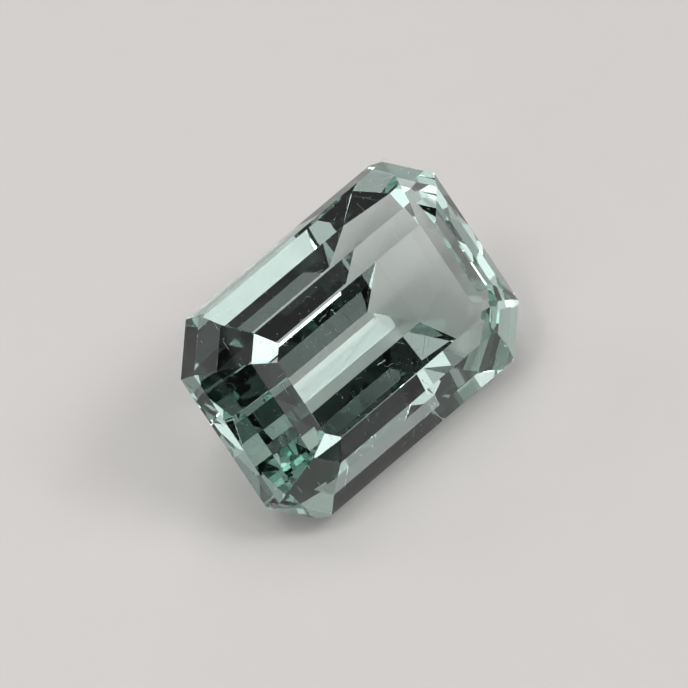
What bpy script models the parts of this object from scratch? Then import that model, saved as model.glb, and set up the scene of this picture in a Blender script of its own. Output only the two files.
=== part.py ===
"""A tourmaline cut as an emerald cut: an oblong with cut corners and rows of stepped facets.

The stone is one solid. Its own frame has the table facing up, the length along X and the
girdle's upper edge at height 0. The finished stone lies on one of the broad facets under its
girdle, so it is turned about X until that facet is level.
"""
import math

import bmesh
import bpy
from mathutils import Matrix, Vector

MM = 0.001

# The girdle: its outline seen from above, and how thick it is.
LENGTH = 9.0 * MM
WIDTH = 5.978 * MM
CORNER_CUT = 1.073 * MM
GIRDLE_THICKNESS = 0.622 * MM

# Steps of the crown from the girdle up, the last one ending at the table.
# Each has its height, then the slopes in degrees of its side, end and corner facets.
CROWN_STEPS = (
    (0.368 * MM, 39.3, 43.6, 41.0),
    (0.476 * MM, 38.5, 36.0, 35.0),
    (0.236 * MM, 23.5, 25.4, 21.8),
)

# The pavilion's upper step: its drop and the slopes of its side, end and corner facets.
UPPER_DROP = 1.187 * MM
UPPER_SLOPES = (52.0, 54.2, 49.1)

# Its middle step: the corner facets run out to a point here, so only sides and ends are given.
MIDDLE_DROP = 1.109 * MM
MIDDLE_SIDE_SLOPE = 45.4
MIDDLE_END_SLOPE = 42.8

# The keel that closes the last step: its depth under the girdle's lower edge, and its length.
KEEL_DEPTH = 2.994 * MM
KEEL_LENGTH = 3.190 * MM

STONE_COLOR = (0.46, 0.62, 0.56, 1.0)
STONE_ROUGHNESS = 0.02
STONE_IOR = 1.63


def inward_run(rise, slope):
    """How far a facet of this slope runs in over a rise or a drop."""
    return abs(rise) / math.tan(math.radians(slope))


class Outline:
    """An octagon: half its length and width, and how far its corner edges lie from the centre."""

    def __init__(self, half_length, half_width, corner_reach, height):
        self.half_length = half_length
        self.half_width = half_width
        self.corner_reach = corner_reach
        self.height = height

    def stepped(self, rise, side_slope, end_slope, corner_slope):
        """The next outline, after one step of facets."""
        return Outline(
            self.half_length - inward_run(rise, end_slope),
            self.half_width - inward_run(rise, side_slope),
            self.corner_reach - inward_run(rise, corner_slope),
            self.height + rise,
        )

    def points(self):
        """Its eight corners, anticlockwise from the near corner of the right end."""
        reach = self.corner_reach * math.sqrt(2.0)
        end_half = reach - self.half_length
        side_half = reach - self.half_width
        corners = (
            (self.half_length, -end_half),
            (self.half_length, end_half),
            (side_half, self.half_width),
            (-side_half, self.half_width),
            (-self.half_length, end_half),
            (-self.half_length, -end_half),
            (-side_half, -self.half_width),
            (side_half, -self.half_width),
        )
        return [Vector((x, y, self.height)) for x, y in corners]


def girdle_outline(height):
    """The girdle's outline at a height. Its corners are cut at 45 degrees."""
    corner_reach = (LENGTH / 2.0 + WIDTH / 2.0 - CORNER_CUT) / math.sqrt(2.0)
    return Outline(LENGTH / 2.0, WIDTH / 2.0, corner_reach, height)


def crown_outlines():
    """The outlines from the girdle's upper edge up to the table."""
    outlines = [girdle_outline(0.0)]
    for rise, *slopes in CROWN_STEPS:
        outlines.append(outlines[-1].stepped(rise, *slopes))
    return outlines


def pavilion_outlines():
    """The girdle's lower edge and the foot of the pavilion's upper step."""
    lower_edge = girdle_outline(-GIRDLE_THICKNESS)
    return [lower_edge, lower_edge.stepped(-UPPER_DROP, *UPPER_SLOPES)]


def oblong_points(upper_foot):
    """The foot of the middle step: four corners, anticlockwise from the near right one."""
    half_length = upper_foot.half_length - inward_run(MIDDLE_DROP, MIDDLE_END_SLOPE)
    half_width = upper_foot.half_width - inward_run(MIDDLE_DROP, MIDDLE_SIDE_SLOPE)
    height = upper_foot.height - MIDDLE_DROP
    signs = ((1.0, -1.0), (1.0, 1.0), (-1.0, 1.0), (-1.0, -1.0))
    return [Vector((sx * half_length, sy * half_width, height)) for sx, sy in signs]


def keel_points():
    """The right and left ends of the keel."""
    height = -GIRDLE_THICKNESS - KEEL_DEPTH
    return [Vector((side * KEEL_LENGTH / 2.0, 0.0, height)) for side in (1.0, -1.0)]


def add_points(bm, points):
    return [bm.verts.new(point) for point in points]


def join_octagons(bm, lower, upper):
    """Eight facets between two octagons, both anticlockwise seen from above."""
    count = len(lower)
    for i in range(count):
        j = (i + 1) % count
        bm.faces.new((lower[i], lower[j], upper[j], upper[i]))


def join_oblong(bm, oblong, octagon):
    """The middle step: a broad facet on each side and end, a pointed one at each corner."""
    for i in range(4):
        j = (i + 1) % 4
        start = octagon[2 * i]
        end = octagon[2 * i + 1]
        beyond = octagon[(2 * i + 2) % 8]
        bm.faces.new((oblong[i], oblong[j], end, start))
        bm.faces.new((oblong[j], beyond, end))


def close_with_keel(bm, oblong, keel):
    """The last step: two sides that meet in the keel, and a pointed facet at each end."""
    near_right, far_right, far_left, near_left = oblong
    right, left = keel
    bm.faces.new((right, far_right, near_right))
    bm.faces.new((left, far_left, far_right, right))
    bm.faces.new((left, near_left, far_left))
    bm.faces.new((left, right, near_right, near_left))


def stone_mesh():
    """The closed faceted solid in the stone's own frame."""
    lower_edge, upper_foot = pavilion_outlines()
    bm = bmesh.new()
    keel = add_points(bm, keel_points())
    oblong = add_points(bm, oblong_points(upper_foot))
    octagons = [upper_foot, lower_edge] + crown_outlines()
    rings = [add_points(bm, outline.points()) for outline in octagons]
    close_with_keel(bm, oblong, keel)
    join_oblong(bm, oblong, rings[0])
    for lower, upper in zip(rings, rings[1:]):
        join_octagons(bm, lower, upper)
    bm.faces.new(rings[-1])
    mesh = bpy.data.meshes.new("stone")
    bm.to_mesh(mesh)
    bm.free()
    return mesh


def stone_material():
    material = bpy.data.materials.new("tourmaline")
    material.use_nodes = True
    shader = material.node_tree.nodes["Principled BSDF"]
    shader.inputs["Base Color"].default_value = STONE_COLOR
    shader.inputs["Roughness"].default_value = STONE_ROUGHNESS
    shader.inputs["Metallic"].default_value = 0.0
    shader.inputs["IOR"].default_value = STONE_IOR
    shader.inputs["Transmission Weight"].default_value = 1.0
    return material


def lay_on_side_facet(stone):
    """Lays the near middle facet level, with the origin under the middle of the stone's box."""
    turn = Matrix.Rotation(math.radians(MIDDLE_SIDE_SLOPE), 4, "X")
    points = [turn @ vertex.co for vertex in stone.data.vertices]
    lowest = [min(point[axis] for point in points) for axis in range(3)]
    highest = [max(point[axis] for point in points) for axis in range(3)]
    stone.rotation_euler = turn.to_euler()
    stone.location = (
        -(lowest[0] + highest[0]) / 2.0,
        -(lowest[1] + highest[1]) / 2.0,
        -lowest[2],
    )


def main():
    for existing in list(bpy.data.objects):
        bpy.data.objects.remove(existing)
    mesh = stone_mesh()
    mesh.materials.append(stone_material())
    stone = bpy.data.objects.new("stone", mesh)
    bpy.context.scene.collection.objects.link(stone)
    lay_on_side_facet(stone)


main()
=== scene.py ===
"""A loose cut tourmaline: the finish of the stone, its dust, and a small studio stage."""

import math
import random

import bmesh
import bpy
from bpy.props import FloatProperty, FloatVectorProperty, IntProperty, PointerProperty
from mathutils import Matrix, Quaternion, Vector


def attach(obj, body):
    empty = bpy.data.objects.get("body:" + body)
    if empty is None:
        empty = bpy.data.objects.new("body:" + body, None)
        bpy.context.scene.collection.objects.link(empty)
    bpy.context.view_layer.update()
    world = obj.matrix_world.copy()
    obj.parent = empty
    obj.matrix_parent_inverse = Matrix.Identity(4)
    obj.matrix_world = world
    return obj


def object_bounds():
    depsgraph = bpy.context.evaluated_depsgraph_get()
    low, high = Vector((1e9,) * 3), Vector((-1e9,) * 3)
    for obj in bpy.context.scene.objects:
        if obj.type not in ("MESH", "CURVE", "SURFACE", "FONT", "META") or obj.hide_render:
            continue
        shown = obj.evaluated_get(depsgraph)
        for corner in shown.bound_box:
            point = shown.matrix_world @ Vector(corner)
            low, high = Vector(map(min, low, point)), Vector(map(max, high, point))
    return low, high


bl_info = {
    "name": "Cut Tourmaline",
    "version": (1, 0, 0),
    "blender": (4, 5, 0),
    "location": "View3D > Sidebar > Gemstone",
    "description": "Finishes a cut tourmaline and sets a small studio stage round it",
    "category": "Object",
}

MM = 0.001
MICRON = 0.000001

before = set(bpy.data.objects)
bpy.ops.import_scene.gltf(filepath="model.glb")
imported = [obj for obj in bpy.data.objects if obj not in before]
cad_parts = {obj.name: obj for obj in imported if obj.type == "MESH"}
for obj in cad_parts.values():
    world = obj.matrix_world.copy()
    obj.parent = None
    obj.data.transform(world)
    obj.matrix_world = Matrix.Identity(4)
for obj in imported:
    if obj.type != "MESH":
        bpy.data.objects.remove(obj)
cad_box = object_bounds()
STONE_BODY = "root"

# The floor lies this far under the stone, so that the two faces never coincide.
FLOOR_GAP = 3.0 * MICRON

# Outputs of a Texture Coordinate node.
NORMAL_OUTPUT = 1
PLACE_OUTPUT = 3

# Hairline scratches: the direction they are laid out by, how far apart their rows are, how long
# they run, and the share of a row's length that stays clear.
SCRATCHES = (
    ((0.2, 0.9, 0.4), 0.55 * MM, 0.55 * MM, 0.62),
    ((0.8, -0.5, 0.3), 0.80 * MM, 0.45 * MM, 0.63),
    ((-0.6, 0.1, 0.8), 0.95 * MM, 0.65 * MM, 0.63),
)

# Rows of scratches wander by this share of their spacing, this many times in a scratch's length.
ROW_WANDER = 0.15
WANDERS_PER_LENGTH = 0.3

# A scratch is full out to the first share of its width, and gone at the second.
SCRATCH_CORE = 0.25
SCRATCH_RIM = 0.75

# Each row starts up to this many scratch lengths further along, and its ends fade over this much.
ROW_SHIFT = 97.0
END_FADE = 0.04

# Polishing left fine lines on every facet, laid out by this direction and about this far apart.
POLISH_LAY = (0.9, 0.2, 0.4)
POLISH_SPACING = 0.05 * MM
POLISH_DETAIL = 3.0

# Rays that the rounding of an edge is worked out from.
EDGE_SAMPLES = 4

# Patches dulled by handling: the scale per metre, the detail and the roughness of their noise, and
# the noise levels where dulling starts and is full. Elsewhere the polish keeps a share of its haze.
HANDLING_NOISE = (700.0, 4.0, 0.6)
HANDLING_START = 0.45
HANDLING_FULL = 0.75
UNTOUCHED_HAZE = 0.3

DUST_SEED = 7

# How unequal the specks are: 0 makes them all alike.
SPECK_SPREAD = 0.5

# A speck's height and breadth as shares of its width, from the least to the most.
SPECK_HEIGHTS = (0.3, 0.5)
SPECK_BREADTHS = (0.4, 0.9)

# A speck's middle lies over the facet by this share of its height. Its corners are moved by up to
# this share of its width.
SPECK_LIFT = 0.4
SPECK_DENT = 0.1

# A lint thread is made of this many straight parts, bends by up to this angle over its length, and
# lies this far over the facet. Its length varies between these shares of the middling one.
LINT_PARTS = 10
LINT_BEND = 1.2
LINT_LIFT = 4.0 * MICRON
LINT_LENGTHS = (0.5, 1.2)

# Lint and hairs are threads with this many sides.
THREAD_SIDES = 3

# Fine dark hairs that grew inside the crystal, each as a run of points.
HAIRS = (
    (
        (1.126 * MM, -1.414 * MM, 2.574 * MM),
        (1.041 * MM, -1.480 * MM, 2.507 * MM),
        (0.908 * MM, -1.566 * MM, 2.420 * MM),
        (0.747 * MM, -1.660 * MM, 2.324 * MM),
    ),
    (
        (1.209 * MM, -1.490 * MM, 2.497 * MM),
        (1.111 * MM, -1.550 * MM, 2.436 * MM),
        (1.001 * MM, -1.605 * MM, 2.380 * MM),
    ),
)

# Dust settles on facets whose upward share is more than this.
DUSTY_SLOPE = 0.2

# The grain of the hairs, the dust and the floor: the scale per metre, the detail and the roughness
# of its noise, and its darkest and lightest shade as shares of the plain colour.
HAIR_GRAIN = (20000.0, 2.0, 0.5, 0.6, 1.0)
DUST_GRAIN = (60000.0, 2.0, 0.6, 0.75, 1.0)
FLOOR_GRAIN = (900.0, 3.0, 0.6, 0.985, 1.015)

# The roughness of these three, and the floor's refractive index.
HAIR_ROUGHNESS = 0.5
DUST_ROUGHNESS = 0.8
FLOOR_ROUGHNESS = 0.30
FLOOR_INDEX = 1.45

# The camera: its sensor's width in millimetres, and the nearest and farthest that it sees.
SENSOR_WIDTH = 36.0
NEAREST_SEEN = 0.01
FARTHEST_SEEN = 5.0

# Light passes this many facets, and this many surfaces in all.
FACET_BOUNCES = 20
ALL_BOUNCES = 24

# Softboxes: bearing from +X and elevation in degrees, width in degrees as seen from the stone, and
# brightness.
SOFTBOXES = (
    (-176.7, 54.5, 9.0, 4.31),
    (-173.8, 78.6, 9.0, 8.31),
    (-170.0, 25.0, 31.0, 0.669),
    (-159.6, 42.2, 9.0, 2.24),
    (-130.1, 29.3, 9.0, 0.62),
    (-124.2, 55.4, 18.0, 0.54),
    (-110.0, 30.9, 9.0, 1.22),
    (-104.1, 57.9, 9.0, 4.92),
    (-100.5, 17.9, 9.0, 0.95),
    (-99.4, 48.1, 9.0, 0.69),
    (-92.9, 21.8, 31.0, 0.256),
    (-82.3, 37.0, 9.0, 1.08),
    (-79.3, 50.2, 18.0, 0.45),
    (-76.4, 69.2, 51.0, 0.418),
    (-71.7, 56.3, 9.0, 5.28),
    (-64.0, 63.6, 9.0, 2.24),
    (-59.3, 52.4, 9.0, 3.21),
    (-55.7, 14.7, 9.0, 0.18),
    (-54.5, 43.6, 9.0, 8.09),
    (-51.6, 58.9, 9.0, 5.18),
    (-51.6, 58.9, 18.0, 0.4),
    (-43.8, 50.3, 11.0, 4.3),
    (-40.3, 22.4, 9.0, 1.72),
    (-39.2, 54.8, 31.0, 0.336),
    (-37.4, 33.2, 9.0, 1.38),
    (-36.3, 79.5, 18.0, 1.12),
    (-26.8, 51.0, 9.0, 6.66),
    (9.3, 12.9, 9.0, 1.66),
    (41.0, 66.0, 51.0, 0.338),
    (41.7, 12.0, 23.0, 2.0),
    (65.8, 56.6, 31.0, 1.25),
    (90.0, 35.0, 31.0, 0.48),
    (100.0, 65.0, 31.0, 1.01),
    (112.5, 30.7, 18.0, 2.57),
    (138.4, 60.2, 9.0, 4.64),
    (146.1, 68.7, 9.0, 5.75),
    (158.5, 63.2, 9.0, 5.88),
    (163.2, 52.1, 9.0, 5.66),
    (163.2, 52.1, 31.0, 1.03),
    (170.9, 58.5, 9.0, 4.38),
)


class Value:
    """A socket that arithmetic can be done on. Every operation adds a Math node."""

    def __init__(self, shader, socket):
        self.shader = shader
        self.socket = socket

    def _math(self, operation, first, second):
        return self.shader.add("ShaderNodeMath", {"operation": operation}, {0: first, 1: second})

    def __add__(self, other):
        return self._math("ADD", self, other)

    def __radd__(self, other):
        return self._math("ADD", other, self)

    def __sub__(self, other):
        return self._math("SUBTRACT", self, other)

    def __rsub__(self, other):
        return self._math("SUBTRACT", other, self)

    def __mul__(self, other):
        return self._math("MULTIPLY", self, other)

    def __rmul__(self, other):
        return self._math("MULTIPLY", other, self)

    def __abs__(self):
        return self._math("ABSOLUTE", self, 0.0)


class Shader:
    """The node tree of one material."""

    def __init__(self, name):
        self.material = bpy.data.materials.new(name)
        self.material.use_nodes = True
        self.tree = self.material.node_tree
        self.tree.nodes.clear()

    def add(self, kind, settings=None, sockets=None, output=0):
        """Adds a node, sets it up, fills or links its sockets, and gives one of its outputs."""
        node = self.tree.nodes.new(kind)
        for name, value in (settings or {}).items():
            setattr(node, name, value)
        for key, value in (sockets or {}).items():
            if isinstance(value, Value):
                self.tree.links.new(value.socket, node.inputs[key])
            else:
                node.inputs[key].default_value = value
        return Value(self, node.outputs[output]) if node.outputs else None

    def vector(self, operation, first, second=None, output=0):
        sockets = {0: first}
        if second is not None:
            sockets[1] = second
        return self.add("ShaderNodeVectorMath", {"operation": operation}, sockets, output)

    def mix_color(self, factor, first, second):
        """A colour between two others. Sockets 6 and 7 of a Mix node are its colour inputs."""
        return self.add(
            "ShaderNodeMix", {"data_type": "RGBA"}, {0: factor, 6: first, 7: second}, output=2
        )

    def ramp(self, value, low, high):
        """0 below low and 1 above high, smooth in between."""
        return self.add(
            "ShaderNodeMapRange",
            {"interpolation_type": "SMOOTHSTEP"},
            {"Value": value, "From Min": low, "From Max": high},
        )

    def noise(self, vector, scale, detail=2.0, roughness=0.5):
        return self.add(
            "ShaderNodeTexNoise",
            None,
            {"Vector": vector, "Scale": scale, "Detail": detail, "Roughness": roughness},
        )

    def noise_along(self, value, scale, detail=2.0):
        """Noise that changes along one number only."""
        return self.add(
            "ShaderNodeTexNoise",
            {"noise_dimensions": "1D"},
            {"W": value, "Scale": scale, "Detail": detail},
        )


class StoneSettings(bpy.types.PropertyGroup):
    body_color: FloatVectorProperty(
        name="Body colour",
        description="Colour of light after a long way through the crystal",
        subtype="COLOR",
        size=3,
        min=0.0,
        max=1.0,
        default=(0.12, 0.55, 0.43),
    )
    color_depth: FloatProperty(
        name="Colour depth",
        description="How strongly the crystal takes up light, per metre",
        default=52.0,
        min=0.0,
    )
    refractive_index: FloatProperty(
        name="Refractive index",
        description="Refractive index of the crystal",
        default=1.616,
        min=1.0,
    )
    edge_radius: FloatProperty(
        name="Edge radius",
        description="How far the edges between facets are worn round",
        subtype="DISTANCE",
        unit="LENGTH",
        default=10.0 * MICRON,
        precision=6,
    )
    scratch_width: FloatProperty(
        name="Scratch width",
        description="Width of the hairline scratches on the facets",
        subtype="DISTANCE",
        unit="LENGTH",
        default=5.0 * MICRON,
        precision=6,
    )
    scratch_depth: FloatProperty(
        name="Scratch depth",
        description="Depth of the hairline scratches",
        subtype="DISTANCE",
        unit="LENGTH",
        default=0.3 * MICRON,
        precision=6,
    )
    scratch_haze: FloatProperty(
        name="Scratch haze",
        description="Roughness inside a scratch",
        default=0.30,
        min=0.0,
        max=1.0,
    )
    polish_depth: FloatProperty(
        name="Polish depth",
        description="Depth of the faint lines that polishing left on every facet",
        subtype="DISTANCE",
        unit="LENGTH",
        default=0.02 * MICRON,
        precision=6,
    )
    polish_haze: FloatProperty(
        name="Polish haze",
        description="Roughness where the polish is dulled a little by handling",
        default=0.004,
        min=0.0,
        max=1.0,
    )


class HairSettings(bpy.types.PropertyGroup):
    hair_radius: FloatProperty(
        name="Hair radius",
        description="Half the thickness of a growth hair",
        subtype="DISTANCE",
        unit="LENGTH",
        default=4.0 * MICRON,
        precision=6,
    )
    hair_color: FloatVectorProperty(
        name="Hair colour",
        description="Colour of the growth hairs",
        subtype="COLOR",
        size=3,
        min=0.0,
        max=1.0,
        default=(0.035, 0.05, 0.04),
    )


class DustSettings(bpy.types.PropertyGroup):
    speck_count: IntProperty(
        name="Specks",
        description="Number of dust specks on the upper facets",
        default=420,
        min=0,
    )
    speck_size: FloatProperty(
        name="Speck size",
        description="Width of a middling dust speck",
        subtype="DISTANCE",
        unit="LENGTH",
        default=0.014 * MM,
        precision=6,
    )
    lint_count: IntProperty(
        name="Lint threads",
        description="Number of lint threads on the upper facets",
        default=4,
        min=0,
    )
    lint_length: FloatProperty(
        name="Lint length",
        description="Length of a middling lint thread",
        subtype="DISTANCE",
        unit="LENGTH",
        default=0.35 * MM,
        precision=6,
    )
    lint_radius: FloatProperty(
        name="Lint radius",
        description="Half the thickness of a lint thread",
        subtype="DISTANCE",
        unit="LENGTH",
        default=2.5 * MICRON,
        precision=6,
    )
    dust_color: FloatVectorProperty(
        name="Dust colour",
        description="Colour of the dust",
        subtype="COLOR",
        size=3,
        min=0.0,
        max=1.0,
        default=(0.62, 0.62, 0.60),
    )


class StageSettings(bpy.types.PropertyGroup):
    floor_width: FloatProperty(
        name="Floor width",
        description="Width of the square floor",
        subtype="DISTANCE",
        unit="LENGTH",
        default=1.6,
    )
    floor_color: FloatVectorProperty(
        name="Floor colour",
        description="Colour of the floor",
        subtype="COLOR",
        size=3,
        min=0.0,
        max=1.0,
        default=(0.70, 0.676, 0.659),
    )
    surroundings: FloatProperty(
        name="Surroundings",
        description="Brightness of the dim room round the stage",
        default=0.004,
        min=0.0,
    )
    light_distance: FloatProperty(
        name="Light distance",
        description="Distance from the stone to every softbox",
        subtype="DISTANCE",
        unit="LENGTH",
        default=0.25,
    )
    camera_bearing: FloatProperty(
        name="Camera bearing",
        description="Direction of the camera from the stone, from +X towards +Y",
        subtype="ANGLE",
        unit="ROTATION",
        default=math.radians(-137.82),
    )
    camera_elevation: FloatProperty(
        name="Camera elevation",
        description="Height of the camera over the stone, as an angle",
        subtype="ANGLE",
        unit="ROTATION",
        default=math.radians(46.16),
    )
    camera_roll: FloatProperty(
        name="Camera roll",
        description="Turn of the camera about its own axis",
        subtype="ANGLE",
        unit="ROTATION",
        default=math.radians(-1.71),
    )
    camera_distance: FloatProperty(
        name="Camera distance",
        description="Distance from the camera to its aim point",
        subtype="DISTANCE",
        unit="LENGTH",
        default=0.4917,
    )
    frame_width: FloatProperty(
        name="Frame width",
        description="Width of the picture at the aim point",
        subtype="DISTANCE",
        unit="LENGTH",
        default=16.91 * MM,
        precision=6,
    )
    aim_point: FloatVectorProperty(
        name="Aim point",
        description="Point in the middle of the picture",
        subtype="TRANSLATION",
        unit="LENGTH",
        size=3,
        default=(-0.297 * MM, -0.155 * MM, 2.639 * MM),
        precision=6,
    )


def direction(bearing, elevation):
    """The unit vector from the stone towards a bearing and elevation, both in radians."""
    level = math.cos(elevation)
    return Vector((level * math.cos(bearing), level * math.sin(bearing), math.sin(elevation)))


def facet_frame(shader, lay):
    """Two coordinates in the plane of each facet, across and along a direction picked by lay.

    The normal points the other way for light inside the stone. Both coordinates are made
    positive, so that a facet shows the same marks on its inner and its outer side.
    """
    place = shader.add("ShaderNodeTexCoord", output=PLACE_OUTPUT)
    normal = shader.add("ShaderNodeTexCoord", output=NORMAL_OUTPUT)
    crosswise = shader.vector("NORMALIZE", shader.vector("CROSS_PRODUCT", normal, lay))
    lengthwise = shader.vector("CROSS_PRODUCT", normal, crosswise)
    across = abs(shader.vector("DOT_PRODUCT", place, crosswise, output=1))
    along = abs(shader.vector("DOT_PRODUCT", place, lengthwise, output=1))
    return across, along


def hairlines(shader, lay, spacing, width, length, share):
    """1 on sparse thin straight scratches of one direction, 0 elsewhere."""
    across, along = facet_frame(shader, lay)
    wander = shader.noise_along(along, WANDERS_PER_LENGTH / length) * spacing * ROW_WANDER
    row = {"voronoi_dimensions": "1D", "feature": "F1"}
    sockets = {"W": across + wander, "Scale": 1.0 / spacing}
    distance = shader.add("ShaderNodeTexVoronoi", row, sockets, output=0)
    chance = shader.add("ShaderNodeTexVoronoi", row, sockets, output=1)
    red = shader.add("ShaderNodeSeparateColor", None, {"Color": chance})
    core = SCRATCH_CORE * width / spacing
    rim = SCRATCH_RIM * width / spacing
    line = 1.0 - shader.ramp(distance, core, rim)
    present = shader.noise_along(along + red * ROW_SHIFT * length, 1.0 / length)
    return line * shader.ramp(present, share, share + END_FADE)


def crystal_material(settings):
    shader = Shader("tourmaline finish")
    scratches = None
    for lay, spacing, length, share in SCRATCHES:
        lines = hairlines(shader, lay, spacing, settings.scratch_width, length, share)
        scratches = lines if scratches is None else scratches + lines
    across, _ = facet_frame(shader, POLISH_LAY)
    polish = shader.noise_along(across, 1.0 / POLISH_SPACING, POLISH_DETAIL)
    place = shader.add("ShaderNodeTexCoord", output=PLACE_OUTPUT)
    patches = shader.noise(place, *HANDLING_NOISE)
    handling = shader.ramp(patches, HANDLING_START, HANDLING_FULL)
    polish_roughness = settings.polish_haze * (UNTOUCHED_HAZE + handling)
    roughness = polish_roughness + settings.scratch_haze * scratches
    height = polish * settings.polish_depth - scratches * settings.scratch_depth
    radius = {"Radius": settings.edge_radius}
    rounded = shader.add("ShaderNodeBevel", {"samples": EDGE_SAMPLES}, radius)
    normal = shader.add(
        "ShaderNodeBump",
        None,
        {"Strength": 1.0, "Distance": 1.0, "Height": height, "Normal": rounded},
    )
    surface = shader.add(
        "ShaderNodeBsdfPrincipled",
        None,
        {
            "Base Color": (1.0, 1.0, 1.0, 1.0),
            "Roughness": roughness,
            "IOR": settings.refractive_index,
            "Transmission Weight": 1.0,
            "Normal": normal,
        },
    )
    volume = shader.add(
        "ShaderNodeVolumeAbsorption",
        None,
        {"Color": (*settings.body_color, 1.0), "Density": settings.color_depth},
    )
    shader.add("ShaderNodeOutputMaterial", None, {"Surface": surface, "Volume": volume})
    return shader.material


def grained_material(name, place, color, grain, finish):
    """A plain material whose colour varies a little in a fine grain."""
    shader = Shader(name)
    scale, detail, roughness, darkest, lightest = grain
    base = shader.mix_color(
        shader.noise(place(shader), scale, detail, roughness),
        (*(channel * darkest for channel in color), 1.0),
        (*(channel * lightest for channel in color), 1.0),
    )
    surface = shader.add("ShaderNodeBsdfPrincipled", None, {"Base Color": base, **finish})
    shader.add("ShaderNodeOutputMaterial", None, {"Surface": surface})
    return shader.material


def place_in_piece(shader):
    return shader.add("ShaderNodeTexCoord", output=PLACE_OUTPUT)


def place_in_scene(shader):
    return shader.add("ShaderNodeNewGeometry")


def hair_material(settings):
    finish = {"Roughness": HAIR_ROUGHNESS}
    color = settings.hair_color
    return grained_material("growth hairs", place_in_piece, color, HAIR_GRAIN, finish)


def dust_material(settings):
    finish = {"Roughness": DUST_ROUGHNESS}
    return grained_material("dust", place_in_piece, settings.dust_color, DUST_GRAIN, finish)


def floor_material(settings):
    finish = {"Roughness": FLOOR_ROUGHNESS, "IOR": FLOOR_INDEX}
    color = settings.floor_color
    return grained_material("stage floor", place_in_scene, color, FLOOR_GRAIN, finish)


def add_softbox(name, bearing, elevation, width, brightness, distance, aim):
    """A round softbox that fills this many degrees as seen from the stone, and faces it."""
    toward = direction(math.radians(bearing), math.radians(elevation))
    lamp = bpy.data.lights.new(name, "AREA")
    lamp.shape = "DISK"
    lamp.size = 2.0 * distance * math.tan(math.radians(width) / 2.0)
    area = math.pi / 4.0 * lamp.size**2
    lamp.energy = brightness * math.pi * area
    softbox = bpy.data.objects.new(lamp.name, lamp)
    softbox.location = aim + toward * distance
    softbox.rotation_euler = toward.to_track_quat("Z", "Y").to_euler()
    bpy.context.scene.collection.objects.link(softbox)
    return softbox


def facet_places(stone, rng, count):
    """Random places on the facets that face up, each with its facet's normal."""
    mesh = stone.data
    mesh.calc_loop_triangles()
    triangles = []
    weights = []
    for triangle in mesh.loop_triangles:
        corners = [stone.matrix_world @ mesh.vertices[index].co for index in triangle.vertices]
        square = (corners[1] - corners[0]).cross(corners[2] - corners[0])
        if square.normalized().z > DUSTY_SLOPE:
            triangles.append((corners, square.normalized()))
            weights.append(square.z)
    for corners, normal in rng.choices(triangles, weights, k=count):
        first = rng.random()
        second = rng.random()
        if first + second > 1.0:
            first = 1.0 - first
            second = 1.0 - second
        first_side = corners[1] - corners[0]
        second_side = corners[2] - corners[0]
        yield corners[0] + first_side * first + second_side * second, normal


def add_speck(bm, place, normal, width, rng):
    """An irregular grain that lies on a facet."""
    height = width * rng.uniform(*SPECK_HEIGHTS)
    shape = Matrix.Diagonal((width, width * rng.uniform(*SPECK_BREADTHS), height, 1.0))
    spin = Matrix.Rotation(rng.uniform(0.0, math.tau), 4, "Z")
    turn = normal.to_track_quat("Z", "Y").to_matrix().to_4x4()
    lift = Matrix.Translation(place + normal * height * SPECK_LIFT)
    grain = bmesh.ops.create_icosphere(
        bm, subdivisions=1, radius=0.5, matrix=lift @ turn @ spin @ shape
    )
    for vertex in grain["verts"]:
        vertex.co += Vector([rng.uniform(-SPECK_DENT, SPECK_DENT) for _ in range(3)]) * width


def add_thread(bm, points, radius):
    """A thin thread that runs through the points and is closed at both ends."""
    rings = []
    for i, point in enumerate(points):
        before = points[max(i - 1, 0)]
        after = points[min(i + 1, len(points) - 1)]
        turn = (after - before).to_track_quat("Z", "Y").to_matrix()
        ring = []
        for k in range(THREAD_SIDES):
            angle = math.tau * k / THREAD_SIDES
            offset = turn @ Vector((math.cos(angle), math.sin(angle), 0.0))
            ring.append(bm.verts.new(point + offset * radius))
        rings.append(ring)
    for lower, upper in zip(rings, rings[1:]):
        for k in range(THREAD_SIDES):
            following = (k + 1) % THREAD_SIDES
            bm.faces.new((lower[k], lower[following], upper[following], upper[k]))
    bm.faces.new(list(reversed(rings[0])))
    bm.faces.new(rings[-1])


def lint_points(place, normal, length, rng):
    """A gently curved run of points just over a facet."""
    ahead = normal.orthogonal().normalized()
    ahead.rotate(Quaternion(normal, rng.uniform(0.0, math.tau)))
    bend = rng.uniform(-LINT_BEND, LINT_BEND)
    points = []
    for i in range(LINT_PARTS + 1):
        points.append(place + normal * LINT_LIFT)
        ahead.rotate(Quaternion(normal, bend / LINT_PARTS))
        place = place + ahead * length / LINT_PARTS
    return points


def mesh_piece(name, bm, material):
    """An object made from a finished bmesh, riding on the stone."""
    mesh = bpy.data.meshes.new(name)
    bm.to_mesh(mesh)
    bm.free()
    mesh.materials.append(material)
    piece = bpy.data.objects.new(name, mesh)
    bpy.context.scene.collection.objects.link(piece)
    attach(piece, STONE_BODY)
    return piece


def add_floor(settings):
    half = settings.floor_width / 2.0
    mesh = bpy.data.meshes.new("stage floor")
    level = -FLOOR_GAP
    corners = [(-half, -half, level), (half, -half, level), (half, half, level), (-half, half, level)]
    mesh.from_pydata(corners, [], [(0, 1, 2, 3)])
    mesh.materials.append(floor_material(settings))
    floor = bpy.data.objects.new("stage floor", mesh)
    bpy.context.scene.collection.objects.link(floor)


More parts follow.
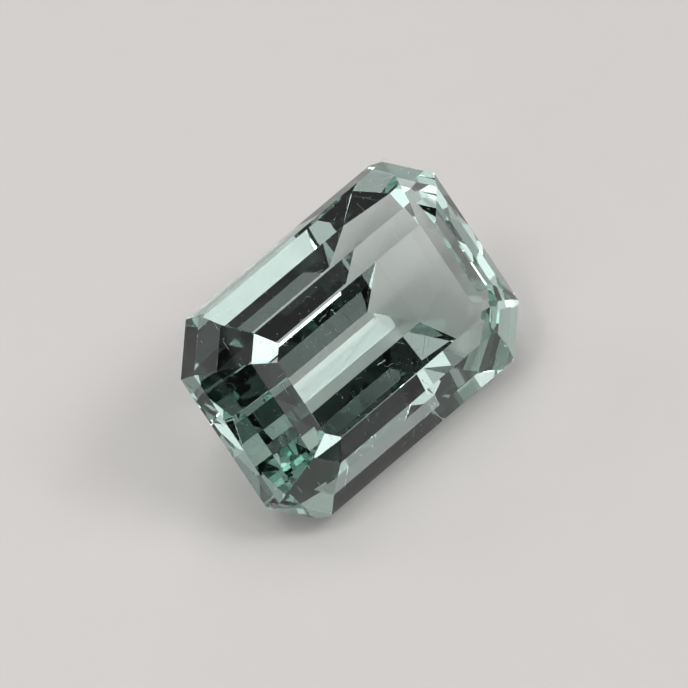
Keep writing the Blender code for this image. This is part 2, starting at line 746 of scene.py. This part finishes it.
def add_camera(settings):
    toward = direction(settings.camera_bearing, settings.camera_elevation)
    lens = bpy.data.cameras.new("camera")
    lens.sensor_width = SENSOR_WIDTH
    lens.angle = 2.0 * math.atan(settings.frame_width / 2.0 / settings.camera_distance)
    lens.clip_start = NEAREST_SEEN
    lens.clip_end = FARTHEST_SEEN
    camera = bpy.data.objects.new("camera", lens)
    turn = toward.to_track_quat("Z", "Y").to_matrix().to_4x4()
    roll = Matrix.Rotation(settings.camera_roll, 4, "Z")
    place = Matrix.Translation(Vector(settings.aim_point) + toward * settings.camera_distance)
    camera.matrix_world = place @ turn @ roll
    bpy.context.scene.collection.objects.link(camera)
    bpy.context.scene.camera = camera


def light_room(settings):
    world = bpy.data.worlds.new("room")
    world.use_nodes = True
    background = world.node_tree.nodes["Background"]
    background.inputs["Color"].default_value = (1.0, 1.0, 1.0, 1.0)
    background.inputs["Strength"].default_value = settings.surroundings
    bpy.context.scene.world = world
    aim = Vector((0.0, 0.0, cad_box[1][2] / 2.0))
    for number, softbox in enumerate(SOFTBOXES, start=1):
        add_softbox(f"softbox {number:02d}", *softbox, settings.light_distance, aim)


class GEM_OT_finish_stone(bpy.types.Operator):
    """Give the stone its polished, clear, lightly scratched finish"""

    bl_idname = "gem.finish_stone"
    bl_label = "Finish the stone"

    def execute(self, context):
        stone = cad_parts["stone"]
        material = crystal_material(context.scene.gem_stone)
        for slot in stone.material_slots:
            slot.material = material
        return {"FINISHED"}


class GEM_OT_grow_hairs(bpy.types.Operator):
    """Grow the fine dark hairs inside the crystal"""

    bl_idname = "gem.grow_hairs"
    bl_label = "Grow the hairs"

    def execute(self, context):
        settings = context.scene.gem_hairs
        bm = bmesh.new()
        for run in HAIRS:
            add_thread(bm, [Vector(point) for point in run], settings.hair_radius)
        mesh_piece("growth_hairs", bm, hair_material(settings))
        return {"FINISHED"}


class GEM_OT_settle_dust(bpy.types.Operator):
    """Settle dust specks and a few lint threads on the facets that face up"""

    bl_idname = "gem.settle_dust"
    bl_label = "Settle the dust"

    def execute(self, context):
        settings = context.scene.gem_dust
        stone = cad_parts["stone"]
        rng = random.Random(DUST_SEED)
        bm = bmesh.new()
        for place, normal in facet_places(stone, rng, settings.speck_count):
            width = settings.speck_size * rng.lognormvariate(0.0, SPECK_SPREAD)
            add_speck(bm, place, normal, width, rng)
        for place, normal in facet_places(stone, rng, settings.lint_count):
            length = settings.lint_length * rng.uniform(*LINT_LENGTHS)
            add_thread(bm, lint_points(place, normal, length, rng), settings.lint_radius)
        mesh_piece("dust", bm, dust_material(settings))
        return {"FINISHED"}


class GEM_OT_set_stage(bpy.types.Operator):
    """Set the floor, the softboxes, the room and the camera"""

    bl_idname = "gem.set_stage"
    bl_label = "Set the stage"

    def execute(self, context):
        settings = context.scene.gem_stage
        add_floor(settings)
        light_room(settings)
        add_camera(settings)
        bpy.context.scene.view_settings.view_transform = "Standard"
        bpy.context.scene.cycles.glossy_bounces = FACET_BOUNCES
        bpy.context.scene.cycles.transmission_bounces = FACET_BOUNCES
        bpy.context.scene.cycles.max_bounces = ALL_BOUNCES
        return {"FINISHED"}


class GEM_PT_panel(bpy.types.Panel):
    bl_label = "Cut Tourmaline"
    bl_idname = "GEM_PT_panel"
    bl_space_type = "VIEW_3D"
    bl_region_type = "UI"
    bl_category = "Gemstone"

    def draw(self, context):
        scene = context.scene
        for operator in OPERATORS:
            self.layout.operator(operator.bl_idname)
        for settings in (scene.gem_stone, scene.gem_hairs, scene.gem_dust, scene.gem_stage):
            box = self.layout.box()
            for name in settings.__annotations__:
                box.prop(settings, name)


OPERATORS = (GEM_OT_finish_stone, GEM_OT_grow_hairs, GEM_OT_settle_dust, GEM_OT_set_stage)
CLASSES = (StoneSettings, HairSettings, DustSettings, StageSettings) + OPERATORS + (GEM_PT_panel,)


def register():
    for cls in CLASSES:
        bpy.utils.register_class(cls)
    bpy.types.Scene.gem_stone = PointerProperty(type=StoneSettings)
    bpy.types.Scene.gem_hairs = PointerProperty(type=HairSettings)
    bpy.types.Scene.gem_dust = PointerProperty(type=DustSettings)
    bpy.types.Scene.gem_stage = PointerProperty(type=StageSettings)


def unregister():
    for name in ("gem_stage", "gem_dust", "gem_hairs", "gem_stone"):
        delattr(bpy.types.Scene, name)
    for cls in reversed(CLASSES):
        bpy.utils.unregister_class(cls)


def main():
    register()
    bpy.ops.gem.finish_stone()
    bpy.ops.gem.grow_hairs()
    bpy.ops.gem.settle_dust()
    bpy.ops.gem.set_stage()


if __name__ == "__main__":
    main()
